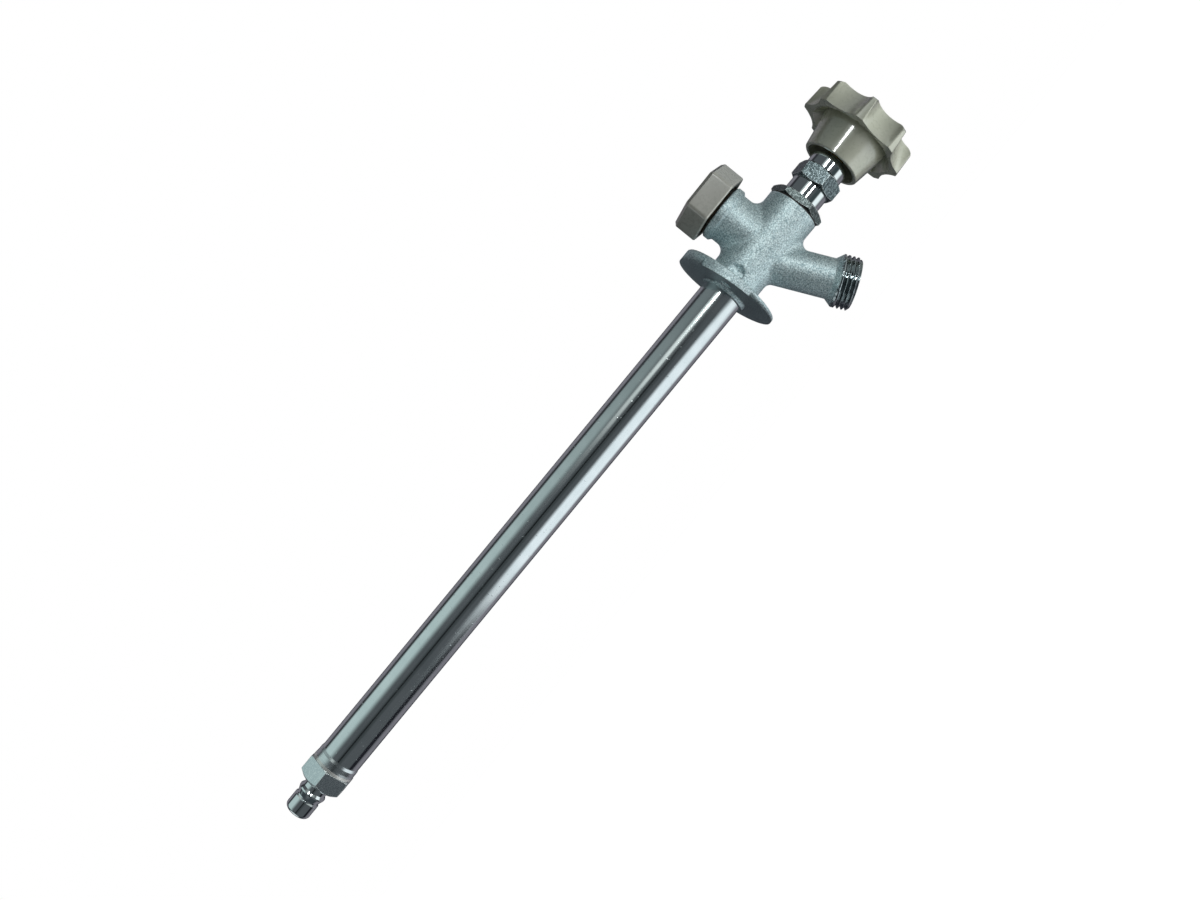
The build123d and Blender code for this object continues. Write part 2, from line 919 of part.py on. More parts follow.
cap_wall = 1.8
cap_corner = 2.2
cap_bevel = 1.6
boss_radius = 4.7
boss_bottom = 33.0
with BuildPart() as breaker_cap:
    with BuildSketch(Plane(origin=(neck_x, 0, cap_bottom))) as cap_outline:
        RegularPolygon(cap_flats / 2, 6, major_radius=False, rotation=cap_turn)
        fillet(cap_outline.vertices(), radius=cap_corner)
    extrude(amount=cap_top - cap_bottom)
    chamfer(breaker_cap.edges().group_by(Axis.Z)[-1], length=cap_bevel)
    fillet(breaker_cap.edges().group_by(Axis.Z)[0], radius=1.0)
    with BuildSketch(Plane(origin=(neck_x, 0, cap_bottom))) as cap_hollow:
        RegularPolygon(cap_flats / 2 - cap_wall, 6, major_radius=False, rotation=cap_turn)
        fillet(cap_hollow.vertices(), radius=cap_corner - 1)
    extrude(amount=cap_top - cap_wall - cap_bottom, mode=Mode.SUBTRACT)
    with BuildSketch(Plane(origin=(neck_x, 0, boss_bottom))):
        Circle(boss_radius)
        Circle(post_radius + 0.02, mode=Mode.SUBTRACT)
    extrude(amount=cap_top - cap_wall - boss_bottom)
save(breaker_cap.part, "breaker_cap")
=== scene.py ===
import bmesh
import bpy
import math
from mathutils import Matrix, Vector


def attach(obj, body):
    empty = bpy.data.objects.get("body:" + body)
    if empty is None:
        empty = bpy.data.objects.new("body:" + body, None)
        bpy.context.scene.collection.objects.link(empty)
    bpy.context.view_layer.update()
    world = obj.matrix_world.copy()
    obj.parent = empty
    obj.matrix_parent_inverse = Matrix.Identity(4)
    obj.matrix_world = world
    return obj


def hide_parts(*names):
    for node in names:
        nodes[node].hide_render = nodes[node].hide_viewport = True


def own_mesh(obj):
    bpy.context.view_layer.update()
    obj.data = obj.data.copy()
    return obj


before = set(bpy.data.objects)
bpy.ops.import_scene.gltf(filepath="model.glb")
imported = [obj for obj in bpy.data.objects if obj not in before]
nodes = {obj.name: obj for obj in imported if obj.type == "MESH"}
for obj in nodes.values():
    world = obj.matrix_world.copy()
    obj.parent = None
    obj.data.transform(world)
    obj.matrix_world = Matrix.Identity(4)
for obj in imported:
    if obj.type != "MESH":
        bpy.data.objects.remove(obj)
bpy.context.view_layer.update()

mm = 0.001


def toLinear(hexColour):  # sRGB hex to the linear colour that Blender mixes with
    values = [int(hexColour[i:i + 2], 16) / 255 for i in (1, 3, 5)]
    linear = [v / 12.92 if v <= 0.04045 else ((v + 0.055) / 1.055) ** 2.4 for v in values]
    return (*linear, 1.0)


def addNode(tree, kind, inputs=(), **settings):
    # One node, with its settings. What goes into it is listed in order or named: a number, a
    # colour in hex, or another node's output. Gives back its outputs
    node = tree.nodes.new(kind)
    for name, value in settings.items():
        setattr(node, name, value)
    named = inputs if isinstance(inputs, dict) else dict(enumerate(inputs))
    for name, value in named.items():
        if isinstance(value, bpy.types.NodeSocket):
            tree.links.new(value, node.inputs[name])
        else:
            colour = isinstance(value, str)
            node.inputs[name].default_value = toLinear(value) if colour else value
    return node.outputs


# The camera stands 56 cm from the tube's side, rolled so that the tube climbs to the right
photoView = {
    "widthPx": 1200,
    "focalPx": 1112,
    "place": (-110.9, -561.5, -28.2),  # mm
    "roll": -50.41,  # degrees
    "pan": -1.15,
    "tilt": 1.77,
    "shift": (0.0111, 0.0358),
    "clip": (0.05, 20),  # m
}
cameraData = bpy.data.cameras.new("photoCamera")
cameraData.sensor_width = 36
cameraData.lens = cameraData.sensor_width * photoView["focalPx"] / photoView["widthPx"]
cameraData.shift_x, cameraData.shift_y = photoView["shift"]
cameraData.clip_start, cameraData.clip_end = photoView["clip"]
camera = bpy.data.objects.new("photoCamera", cameraData)
bpy.context.scene.collection.objects.link(camera)
aim = (
    Matrix.Rotation(math.radians(-photoView["pan"]), 4, "Z")
    @ Matrix.Rotation(math.radians(90 + photoView["tilt"]), 4, "X")
    @ Matrix.Rotation(math.radians(photoView["roll"]), 4, "Z")
)
camera.matrix_world = Matrix.Translation(Vector(photoView["place"]) * mm) @ aim
bpy.context.scene.camera = camera
print("camera placed")


def newMaterial(name):
    material = bpy.data.materials.new(name)
    material.use_nodes = True
    material.node_tree.nodes.clear()
    return material, material.node_tree


noiseSpread = (0.3, 0.7)  # most of a noise pattern lies between these
edgeGlintAt = (0.97, 0.998)  # how alike rounded and flat normals are, on a corner and beside it


def surfaceGrain(tree, sizeMm, detail=3.0, stretch=None):  # sizeMm across, stretched along X
    place = addNode(tree, "ShaderNodeTexCoord")["Object"]
    if stretch:
        stretched = {"Vector": place, "Scale": (1 / stretch, 1, 1)}
        place = addNode(tree, "ShaderNodeMapping", stretched)[0]
    grain = {"Vector": place, "Scale": 1 / (sizeMm * mm), "Detail": detail}
    return addNode(tree, "ShaderNodeTexNoise", grain)[0]


def edgeGlintMask(tree, rounded):  # 1 on the corners, where a highlight is painted, 0 on the flats
    flat = addNode(tree, "ShaderNodeNewGeometry")["Normal"]
    alike = addNode(tree, "ShaderNodeVectorMath", [rounded, flat], operation="DOT_PRODUCT")
    return addNode(tree, "ShaderNodeMapRange", [alike["Value"], *edgeGlintAt, 1, 0])[0]


def stretchOfTube(tree, fromMm, toMm):  # 1 between two places along the tube, 0 outside
    place = addNode(tree, "ShaderNodeTexCoord")["Object"]
    alongX = addNode(tree, "ShaderNodeSeparateXYZ", [place])[0]
    middle, reach = (fromMm + toMm) / 2 * mm, (toMm - fromMm) / 2 * mm
    return addNode(tree, "ShaderNodeMath", [alongX, middle, reach], operation="COMPARE")[0]


# Sand-cast brass, satin nickel plated: the sand's grain shows through, so it shines broadly and
# speckled, and the dull nickel scatters a part of the light as a matt surface does
castLook = {
    "light": "#e8f8fa",
    "dark": "#9ab3b9",
    "metallic": 0.5,
    "roughness": (0.46, 0.54),
    "edgeMm": 0.5,
    "grainMm": 0.62,  # sand grain, drawn about twice as coarse as it is, so that it shows
    "grainSpread": (0.38, 0.62),
    "grainHeightMm": 0.19,
    "grainStrength": 0.8,
    "lumpMm": 4.5,
    "lumpHeightMm": 0.06,
    "lumpStrength": 0.5,
    "pitMm": 0.6,  # specks where the sand left a pit
    "pitSpread": (0.58, 0.68),
    "pitShare": 0.5,
    "pitColour": "#4d5c61",
    "wallFaceShadeColour": "#66727a",  # painted shade: the flange's face towards the wall is coloured darker, as it stands in shade
    "wallFaceShare": 0.65,
    "wallFaceTurn": (0.85, 0.97),  # how nearly it looks at the wall
    "wallFaceStretch": (-4, 3.5),  # mm along the tube
}


def makeCastNickel():
    look = castLook
    material, tree = newMaterial("castNickelPlate")
    grain = surfaceGrain(tree, look["grainMm"], detail=2.5)
    lumps = surfaceGrain(tree, look["lumpMm"], detail=1.5)
    pits = surfaceGrain(tree, look["pitMm"], detail=1.0)
    raised = addNode(tree, "ShaderNodeMapRange", [grain, *look["grainSpread"], 0, 1])[0]
    tint = addNode(
        tree, "ShaderNodeMix", {0: raised, 6: look["dark"], 7: look["light"]}, data_type="RGBA"
    )[2]
    pitted = addNode(
        tree, "ShaderNodeMapRange", [pits, *look["pitSpread"], 0, look["pitShare"]]
    )[0]
    tint = addNode(
        tree, "ShaderNodeMix", {0: pitted, 6: tint, 7: look["pitColour"]}, data_type="RGBA"
    )[2]
    # Painted shade: on the flange, where the surface looks at the wall, the tint is darkened
    flat = addNode(tree, "ShaderNodeNewGeometry")["Normal"]
    wallward = addNode(
        tree, "ShaderNodeVectorMath", [flat, (-1, 0, 0)], operation="DOT_PRODUCT"
    )["Value"]
    wallwardShade = addNode(
        tree, "ShaderNodeMapRange", [wallward, *look["wallFaceTurn"], 0, look["wallFaceShare"]]
    )[0]
    flange = stretchOfTube(tree, *look["wallFaceStretch"])
    wallFace = addNode(tree, "ShaderNodeMath", [wallwardShade, flange], operation="MULTIPLY")[0]
    tint = addNode(
        tree, "ShaderNodeMix", {0: wallFace, 6: tint, 7: look["wallFaceShadeColour"]}, data_type="RGBA"
    )[2]
    normal = addNode(tree, "ShaderNodeBevel", {"Radius": look["edgeMm"] * mm}, samples=4)[0]
    normal = addNode(tree, "ShaderNodeBump", {
        "Height": lumps, "Distance": look["lumpHeightMm"] * mm,
        "Strength": look["lumpStrength"], "Normal": normal,
    })[0]
    normal = addNode(tree, "ShaderNodeBump", {
        "Height": grain, "Distance": look["grainHeightMm"] * mm,
        "Strength": look["grainStrength"], "Normal": normal,
    })[0]
    roughness = addNode(tree, "ShaderNodeMapRange", [lumps, *noiseSpread, *look["roughness"]])[0]
    plate = addNode(tree, "ShaderNodeBsdfPrincipled", {
        "Base Color": tint,
        "Metallic": look["metallic"],
        "Roughness": roughness,
        "Normal": normal,
    })[0]
    addNode(tree, "ShaderNodeOutputMaterial", {"Surface": plate})
    return material


# Drawn copper tube, bright nickel plated: a mirror with faint draw lines along it
tubeLook = {
    "light": "#dfe4e5",
    "dark": "#d3dadb",
    "cloudMm": 9.0,
    "roughness": (0.09, 0.16),
    "edgeMm": 0.15,
    "drawLineMm": 0.35,
    "drawLength": 160,  # a line is this many times longer than wide
    "drawLineHeightMm": 0.012,
    "drawLineStrength": 0.25,
    "nickMm": 1.5,  # the few small nicks of a tube that has been handled
    "nickSpread": (0.78, 0.82),
    "nickHeightMm": 0.04,
    "nickStrength": 0.5,
    "swage": (-313, -304.6),  # mm along the tube: the widened end, which the swaging left dull
    "swageRoughness": 0.27,
    "lip": (-313, -310.2),  # its rolled lip is painted near white, a painted highlight
    "lipHighlightColour": "#f1f2ee",
    "lipMetallic": 0.6,
}


def makeTubeNickel():
    look = tubeLook
    material, tree = newMaterial("drawnNickelTube")
    lines = surfaceGrain(tree, look["drawLineMm"], detail=2.0, stretch=look["drawLength"])
    clouds = surfaceGrain(tree, look["cloudMm"])
    nicks = surfaceGrain(tree, look["nickMm"], detail=0.0)
    nicks = addNode(tree, "ShaderNodeMapRange", [nicks, *look["nickSpread"], 0, 1])[0]
    lip = stretchOfTube(tree, *look["lip"])
    swage = stretchOfTube(tree, *look["swage"])
    cloudy = addNode(tree, "ShaderNodeMapRange", [clouds, *noiseSpread, 0, 1])[0]
    tint = addNode(
        tree, "ShaderNodeMix", {0: cloudy, 6: look["dark"], 7: look["light"]}, data_type="RGBA"
    )[2]
    # Painted highlight: the rolled lip is tinted near white and made less metallic
    tint = addNode(
        tree, "ShaderNodeMix", {0: lip, 6: tint, 7: look["lipHighlightColour"]}, data_type="RGBA"
    )[2]
    metallic = addNode(tree, "ShaderNodeMapRange", [lip, 0, 1, 1, look["lipMetallic"]])[0]
    drawn = addNode(tree, "ShaderNodeMapRange", [lines, *noiseSpread, *look["roughness"]])[0]
    dull = addNode(tree, "ShaderNodeMapRange", [swage, 0, 1, 0, look["swageRoughness"]])[0]
    roughness = addNode(tree, "ShaderNodeMath", [drawn, dull], operation="MAXIMUM")[0]
    normal = addNode(tree, "ShaderNodeBevel", {"Radius": look["edgeMm"] * mm}, samples=4)[0]
    normal = addNode(tree, "ShaderNodeBump", {
        "Height": lines, "Distance": look["drawLineHeightMm"] * mm,
        "Strength": look["drawLineStrength"], "Normal": normal,
    })[0]
    normal = addNode(tree, "ShaderNodeBump", {
        "Height": nicks, "Distance": look["nickHeightMm"] * mm,
        "Strength": look["nickStrength"], "Normal": normal,
    })[0]
    plate = addNode(tree, "ShaderNodeBsdfPrincipled", {
        "Base Color": tint,
        "Metallic": metallic,
        "Roughness": roughness,
        "Normal": normal,
    })[0]
    addNode(tree, "ShaderNodeOutputMaterial", {"Surface": plate})
    return material


# Turned metal: fine tool lines round the axis, which only roughen the shine
turnedLook = {
    "cloudMm": 3.0,
    "lineMm": 0.3,
    "lineLength": 14,  # a line is this many times longer than wide
    "lineStrength": 0.3,
    "lineRoughness": (0.75, 1.3),  # times the metal's own
    "edgeMm": 0.2,
}


def makeTurnedMetal(name, light, dark, roughness, lineHeightMm=0.01):
    look = turnedLook
    material, tree = newMaterial(name)
    lines = surfaceGrain(tree, look["lineMm"], detail=2.0, stretch=1 / look["lineLength"])
    clouds = surfaceGrain(tree, look["cloudMm"])
    cloudy = addNode(tree, "ShaderNodeMapRange", [clouds, *noiseSpread, 0, 1])[0]
    tint = addNode(tree, "ShaderNodeMix", {0: cloudy, 6: dark, 7: light}, data_type="RGBA")[2]
    lined = [roughness * share for share in look["lineRoughness"]]
    edges = addNode(tree, "ShaderNodeBevel", {"Radius": look["edgeMm"] * mm}, samples=4)[0]
    normal = addNode(tree, "ShaderNodeBump", {
        "Height": lines, "Distance": lineHeightMm * mm,
        "Strength": look["lineStrength"], "Normal": edges,
    })[0]
    metal = addNode(tree, "ShaderNodeBsdfPrincipled", {
        "Base Color": tint,
        "Metallic": 1.0,
        "Roughness": addNode(tree, "ShaderNodeMapRange", [lines, *noiseSpread, *lined])[0],
        "Normal": normal,
    })[0]
    addNode(tree, "ShaderNodeOutputMaterial", {"Surface": metal})
    return material


# Hexagons that were plated as milled: a dull dark skin with bright flecks and scratches along it,
# and a painted highlight on its edges. Beside them the round part was buffed first, and is a
# mirror
milledLook = {
    "fleckMm": 0.7,
    "fleckSpread": (0.5, 0.68),
    "fleckStrength": 0.4,
    "scratchMm": 0.35,
    "scratchLength": 10,
    "scratchSpread": (0.58, 0.66),
    "edgeMm": 0.4,
    # painted highlight on the edges
    "edgeHighlightColour": "#dfe8e8",
    "edgeHighlightMetallic": 0.2,  # the painted edge highlight is mostly matt, so that it shows bright whatever stands round it
    "buffedColour": "#d9dfe0",
    "buffedRoughness": 0.06,
    "buffedEdgeMm": 0.1,
}
# Under 1, metallic lets the dull skin scatter the rest of the light as a matt surface does
bonnetLook = {
    "light": "#98a5a5",
    "dark": "#3f4a4a",
    "buffed": (58.7, 90),  # mm along the tube
    "metallic": 0.6,
    "roughness": 0.42,
    "fleckHeightMm": 0.05,
}
nutLook = {
    "light": "#98a6aa",
    "dark": "#444f52",
    "buffed": (76.5, 90),
    "metallic": 0.85,
    "roughness": 0.26,
    "fleckHeightMm": 0.05,
}
inletLook = {
    "light": "#dbe2e3",
    "dark": "#c4cdd0",
    "buffed": (-345, -322.4),
    "metallic": 1.0,
    "roughness": 0.26,
    "fleckHeightMm": 0.02,
}


def makeMilledMetal(name, piece):
    look = milledLook
    material, tree = newMaterial(name)
    flecks = surfaceGrain(tree, look["fleckMm"], detail=2.0)
    scratches = surfaceGrain(tree, look["scratchMm"], detail=1.0, stretch=look["scratchLength"])
    flecked = addNode(tree, "ShaderNodeMapRange", [flecks, *look["fleckSpread"], 0, 1])[0]
    scratched = addNode(tree, "ShaderNodeMapRange", [scratches, *look["scratchSpread"], 0, 1])[0]
    marks = addNode(tree, "ShaderNodeMath", [flecked, scratched], operation="MAXIMUM")[0]
    rounded = addNode(tree, "ShaderNodeBevel", {"Radius": look["edgeMm"] * mm}, samples=4)[0]
    # Painted highlight: the edges are tinted light and made mostly matt
    edgeGlint = edgeGlintMask(tree, rounded)
    buffed = stretchOfTube(tree, *piece["buffed"])
    tint = addNode(
        tree, "ShaderNodeMix", {0: marks, 6: piece["dark"], 7: piece["light"]}, data_type="RGBA"
    )[2]
    tint = addNode(
        tree, "ShaderNodeMix", {0: edgeGlint, 6: tint, 7: look["edgeHighlightColour"]}, data_type="RGBA"
    )[2]
    tint = addNode(
        tree, "ShaderNodeMix", {0: buffed, 6: tint, 7: look["buffedColour"]}, data_type="RGBA"
    )[2]
    skin = addNode(
        tree, "ShaderNodeMapRange", [edgeGlint, 0, 1, piece["metallic"], look["edgeHighlightMetallic"]]
    )[0]
    metallic = addNode(tree, "ShaderNodeMath", [skin, buffed], operation="MAXIMUM")[0]
    roughness = addNode(
        tree, "ShaderNodeMapRange", [buffed, 0, 1, piece["roughness"], look["buffedRoughness"]]
    )[0]
    milled = addNode(tree, "ShaderNodeBump", {
        "Height": flecks, "Distance": piece["fleckHeightMm"] * mm,
        "Strength": look["fleckStrength"], "Normal": rounded,
    })[0]
    smooth = addNode(
        tree, "ShaderNodeBevel", {"Radius": look["buffedEdgeMm"] * mm}, samples=4
    )[0]
    normal = addNode(
        tree, "ShaderNodeMix", {0: buffed, 4: milled, 5: smooth}, data_type="VECTOR"
    )[1]
    plate = addNode(tree, "ShaderNodeBsdfPrincipled", {
        "Base Color": tint,
        "Metallic": metallic,
        "Roughness": roughness,
        "Normal": normal,
    })[0]
    addNode(tree, "ShaderNodeOutputMaterial", {"Surface": plate})
    return material


# Die-cast wheel under semi-gloss enamel, and a moulded cap of the same warm grey
greyLook = {
    "roughness": (0.24, 0.34),
    "cloudMm": 12.0,
    "coatRoughness": 0.1,
    "coatIor": 1.8,
    "peelMm": 1.8,  # orange peel of the enamel, and the mould's polish on the cap
    "peelStrength": 0.35,
}
enamelLook = {
    "light": "#c1c4b2",
    "dark": "#b4b8a4",
    "edge": "#d2d5c6",  # painted highlight: the corners are tinted lighter
    "edgeMm": 0.4,
    "peelHeightMm": 0.04,
    "coat": 1.0,
}
capLook = {
    "light": "#b3b4ab",
    "dark": "#a9aaa0",
    # painted highlight: the cap's corners are tinted lighter
    "edge": "#e2e2d8",
    "edgeMm": 0.6,
    "peelHeightMm": 0.008,
    "coat": 0.7,
}


def makeGrey(name, piece):
    look = greyLook
    material, tree = newMaterial(name)
    rounded = addNode(tree, "ShaderNodeBevel", {"Radius": piece["edgeMm"] * mm}, samples=4)[0]
    peel = surfaceGrain(tree, look["peelMm"], detail=1.5)
    clouds = surfaceGrain(tree, look["cloudMm"])
    cloudy = addNode(tree, "ShaderNodeMapRange", [clouds, *noiseSpread, 0, 1])[0]
    tint = addNode(
        tree, "ShaderNodeMix", {0: cloudy, 6: piece["dark"], 7: piece["light"]}, data_type="RGBA"
    )[2]
    # Painted highlight on the corners
    edgeGlint = edgeGlintMask(tree, rounded)
    tint = addNode(
        tree, "ShaderNodeMix", {0: edgeGlint, 6: tint, 7: piece["edge"]}, data_type="RGBA"
    )[2]
    normal = addNode(tree, "ShaderNodeBump", {
        "Height": peel, "Distance": piece["peelHeightMm"] * mm,
        "Strength": look["peelStrength"], "Normal": rounded,
    })[0]
    roughness = addNode(tree, "ShaderNodeMapRange", [peel, *noiseSpread, *look["roughness"]])[0]
    coated = addNode(tree, "ShaderNodeBsdfPrincipled", {
        "Base Color": tint,
        "Roughness": roughness,
        "Normal": normal,
        "Coat Weight": piece["coat"],
        "Coat Roughness": look["coatRoughness"],
        "Coat IOR": look["coatIor"],
    })[0]
    addNode(tree, "ShaderNodeOutputMaterial", {"Surface": coated})
    return material


# Moulded rubber, fibre and plastics inside the tap: an even, faintly grained skin
mouldedLook = {
    "grainMm": 0.5,
    "grainHeightMm": 0.02,
    "grainStrength": 0.3,
    "edgeMm": 0.15,
}


def makeMoulded(name, light, dark, roughness):
    look = mouldedLook
    material, tree = newMaterial(name)
    grain = surfaceGrain(tree, look["grainMm"])
    raised = addNode(tree, "ShaderNodeMapRange", [grain, *noiseSpread, 0, 1])[0]
    tint = addNode(tree, "ShaderNodeMix", {0: raised, 6: dark, 7: light}, data_type="RGBA")[2]
    edges = addNode(tree, "ShaderNodeBevel", {"Radius": look["edgeMm"] * mm}, samples=4)[0]
    normal = addNode(tree, "ShaderNodeBump", {
        "Height": grain, "Distance": look["grainHeightMm"] * mm,
        "Strength": look["grainStrength"], "Normal": edges,
    })[0]
    skin = {"Base Color": tint, "Roughness": roughness, "Normal": normal}
    moulded = addNode(tree, "ShaderNodeBsdfPrincipled", skin)[0]
    addNode(tree, "ShaderNodeOutputMaterial", {"Surface": moulded})
    return material


castNickel = makeCastNickel()
tubeNickel = makeTubeNickel()
bonnetChrome = makeMilledMetal("milledBonnetChrome", bonnetLook)
nutChrome = makeMilledMetal("milledNutChrome", nutLook)
inletNickel = makeMilledMetal("milledInletNickel", inletLook)
brightThread = makeTurnedMetal("cutThreadNickel", "#b7bfc1", "#8a9396", 0.08, lineHeightMm=0.003)
brass = makeTurnedMetal("turnedBrass", "#e3c07a", "#cfa85f", 0.2)
# Painted shade: the breaker's insert, seen only in the gap under the cap, is coloured near
# black-brown
shadeDarkBrass = makeTurnedMetal("shadeDarkenedBrass", "#4b4235", "#352f26", 0.45)
steel = makeTurnedMetal("stainlessSteel", "#d0d1d0", "#bfc1c1", 0.22)
handleEnamel = makeGrey("warmGreyEnamel", enamelLook)
capPlastic = makeGrey("mouldedGreyAbs", capLook)
blackRubber = makeMoulded("mouldedRubber", "#232323", "#171717", 0.55)
blackFibre = makeMoulded("pressedFibre", "#2c2825", "#1d1a18", 0.7)
whiteAcetal = makeMoulded("mouldedAcetal", "#ebe9e2", "#dcdad2", 0.38)
packingPtfe = makeMoulded("pressedPtfe", "#e8e6df", "#dad7ce", 0.5)


def paint(material, *names):
    for name in names:
        slots = nodes[name].data.materials
        slots.clear()
        slots.append(material)


paint(castNickel, "valve_body")
paint(tubeNickel, "supply_tube")
paint(bonnetChrome, "bonnet")
paint(nutChrome, "packing_nut")
paint(inletNickel, "inlet_fitting")
paint(handleEnamel, "handle")
paint(capPlastic, "breaker_cap")
paint(brass, "packing_gland", "stem", "washer_holder", "washer_screw", "check_retainer")
# painted shade: the insert is coloured near black for the gap under the cap
paint(shadeDarkBrass, "breaker_insert")
paint(steel, "handle_screw", "swivel_clip", "check_spring")
paint(blackRubber, "seat_washer", "check_seal", "breaker_gasket", "float_disc")
paint(whiteAcetal, "stem_guide", "check_poppet", "breaker_float")
paint(packingPtfe, "stem_packing")
paint(blackFibre, "bonnet_gasket")
print("materials done")


# Garden hose thread, cut with a die into the plain collar at the spout's end.
# The casting is copied for it, and the copy stands for the whole casting.
hoseThread = {
    "spoutX": 21.9,  # mm along the tube where the spout's axis starts
    "lean": 24.5,  # degrees from straight down, towards the handle
    "outerRadius": 13.45,
    "pitch": 2.209,  # eleven and a half turns to the inch
    "depth": 1.3,
    "crest": 0.3,  # flat that the die leaves on each turn
    "root": 0.3,
    "first": 54.2,  # mm from the tube's axis, just outside the spout's end
    "last": 44.7,
    "runOut": 0.35,  # share of a turn over which the groove fades out
    "runOutLift": 1.05,  # groove depths that it rises there, to end outside the collar
    "above": 0.1,  # mm that the cutter stands out of the collar
    "steps": 56,  # for each turn
    "brightFrom": 43.5,  # mm from the tube's axis: further out, the cut faces are bright
    "brightDepth": 2.2,  # and so far in, in groove depths
    "sharpAngle": 32,  # degrees between faces that meet in a sharp edge
    "flatWeight": 90,  # how much a large face counts in the shading beside it
}


def spoutAxis():  # where it starts, and which way it runs
    lean = math.radians(hoseThread["lean"])
    start = Vector((hoseThread["spoutX"] * mm, 0, 0))
    return start, Vector((math.sin(lean), 0, -math.cos(lean)))


def grooveSection():  # the cutter's outline, in mm along the spout and out from its axis
    look = hoseThread
    radius, depth, above = look["outerRadius"], look["depth"], look["above"]
    halfTop = (look["pitch"] - look["crest"]) / 2
    halfRoot = look["root"] / 2
    flare = above * (halfTop - halfRoot) / depth
    return [
        (-halfTop - flare, radius + above),
        (-halfRoot, radius - depth),
        (halfRoot, radius - depth),
        (halfTop + flare, radius + above),
    ]


def addObject(name, data):
    thing = bpy.data.objects.new(name, data)
    bpy.context.scene.collection.objects.link(thing)
    return thing


def makeThreadCutter():  # one long winding solid that cuts the groove
    look = hoseThread
    start, axis = spoutAxis()
    side = Vector((0, 1, 0))
    up = axis.cross(side)
    section = grooveSection()
    turns = (look["first"] - look["last"]) / look["pitch"]
    winding = bmesh.new()
    rings = []
    for step in range(round(turns * look["steps"]) + 1):
        turn = step / look["steps"]
        place = look["last"] + turn * look["pitch"]
        lift = look["depth"] * max(0.0, 1 - turn / look["runOut"]) * look["runOutLift"]
        angle = 2 * math.pi * turn
        spoke = side * math.cos(angle) + up * math.sin(angle)
        ring = []
        for sideways, out in section:
            point = start + axis * (place + sideways) * mm + spoke * (out + lift) * mm
            ring.append(winding.verts.new(point))
        rings.append(ring)
    corners = len(section)
    for here, there in zip(rings, rings[1:]):
        for k in range(corners):
            after = (k + 1) % corners
            winding.faces.new((here[k], here[after], there[after], there[k]))
    winding.faces.new(list(reversed(rings[0])))
    winding.faces.new(rings[-1])
    bmesh.ops.recalc_face_normals(winding, faces=winding.faces)
    mesh = bpy.data.meshes.new("threadCutter")
    winding.to_mesh(mesh)
    winding.free()
    mesh.materials.append(castNickel)
    mesh.materials.append(brightThread)
    for face in mesh.polygons:
        face.material_index = 1
    return addObject("threadCutter", mesh)


def copyCasting():  # welded, so that the cut leaves no gaps
    mesh = nodes["valve_body"].data.copy()
    welded = bmesh.new()
    welded.from_mesh(mesh)
    bmesh.ops.remove_doubles(welded, verts=welded.verts, dist=0.001 * mm)
    welded.to_mesh(mesh)
    welded.free()
    mesh.materials.clear()
    mesh.materials.append(castNickel)
    mesh.materials.append(brightThread)
    return addObject("threadedCasting", mesh)


def cutHoseThread():
    look = hoseThread
    cutter = makeThreadCutter()
    casting = copyCasting()
    cut = casting.modifiers.new("threadCut", "BOOLEAN")
    cut.operation = "DIFFERENCE"
    cut.solver = "EXACT"
    cut.object = cutter
    bpy.context.view_layer.update()
    result = casting.evaluated_get(bpy.context.evaluated_depsgraph_get())
    threaded = bpy.data.meshes.new_from_object(result)
    casting.modifiers.clear()
    casting.data = threaded
    bpy.data.objects.remove(cutter)
    start, axis = spoutAxis()
    brightRadius = look["outerRadius"] - look["brightDepth"] * look["depth"]
    for face in threaded.polygons:
        middle = face.center - start
        distance = middle.dot(axis)
        outward = (middle - axis * distance).length
        if distance > look["brightFrom"] * mm and outward > brightRadius * mm:
            face.material_index = 1
        face.use_smooth = True
    threaded.set_sharp_from_angle(angle=math.radians(look["sharpAngle"]))
    flats = casting.modifiers.new("flatFaces", "WEIGHTED_NORMAL")  # the flange's faces shade flat
    flats.weight = look["flatWeight"]
    flats.keep_sharp = True
    return casting


casting = cutHoseThread()
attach(casting, "hydrant")
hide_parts("valve_body")
print("hose thread cut,", len(casting.data.polygons), "faces")


# A copy of the check's spring stands for it, attached to the hydrant's body
coil = addObject("checkCoil", nodes["check_spring"].data.copy())
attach(coil, "hydrant")
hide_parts("check_spring")
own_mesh(coil)
print("check spring fitted")


# Two narrow softboxes near the object, in front of the handle: they draw the bright lines
# along the chrome and the streak on the skirt, and give no light to matt surfaces.
# Each: angle round the tube in degrees (0 towards the photo's camera, 90 up) and its size
stripLamps = [
    {"name": "upperStrip", "angle": 16, "fromMm": 84, "toMm": 300, "widthMm": 54, "power": 0.8},
    {"name": "lowerStrip", "angle": -15, "fromMm": 196, "toMm": 300, "widthMm": 48, "power": 0.4},
]
stripDistance = 500  # mm from the tube's axis
stripColour = "#f4f8f7"
for strip in stripLamps:
    lamp = bpy.data.lights.new(strip["name"], "AREA")
    lamp.shape = "RECTANGLE"
    lamp.size = (strip["toMm"] - strip["fromMm"]) * mm
    lamp.size_y = strip["widthMm"] * mm
    lamp.energy = strip["power"]
    lamp.color = toLinear(stripColour)[:3]
    stand = addObject(strip["name"], lamp)
    stand.visible_camera = False
    stand.visible_diffuse = False
    tilt = math.radians(strip["angle"])
    out = Vector((0, -math.cos(tilt), math.sin(tilt)))
    middle = Vector(((strip["fromMm"] + strip["toMm"]) / 2, 0, 0)) + out * stripDistance
    turn = Matrix((Vector((1, 0, 0)), out.cross(Vector((1, 0, 0))), out)).transposed().to_4x4()
    stand.matrix_world = Matrix.Translation(middle * mm) @ turn


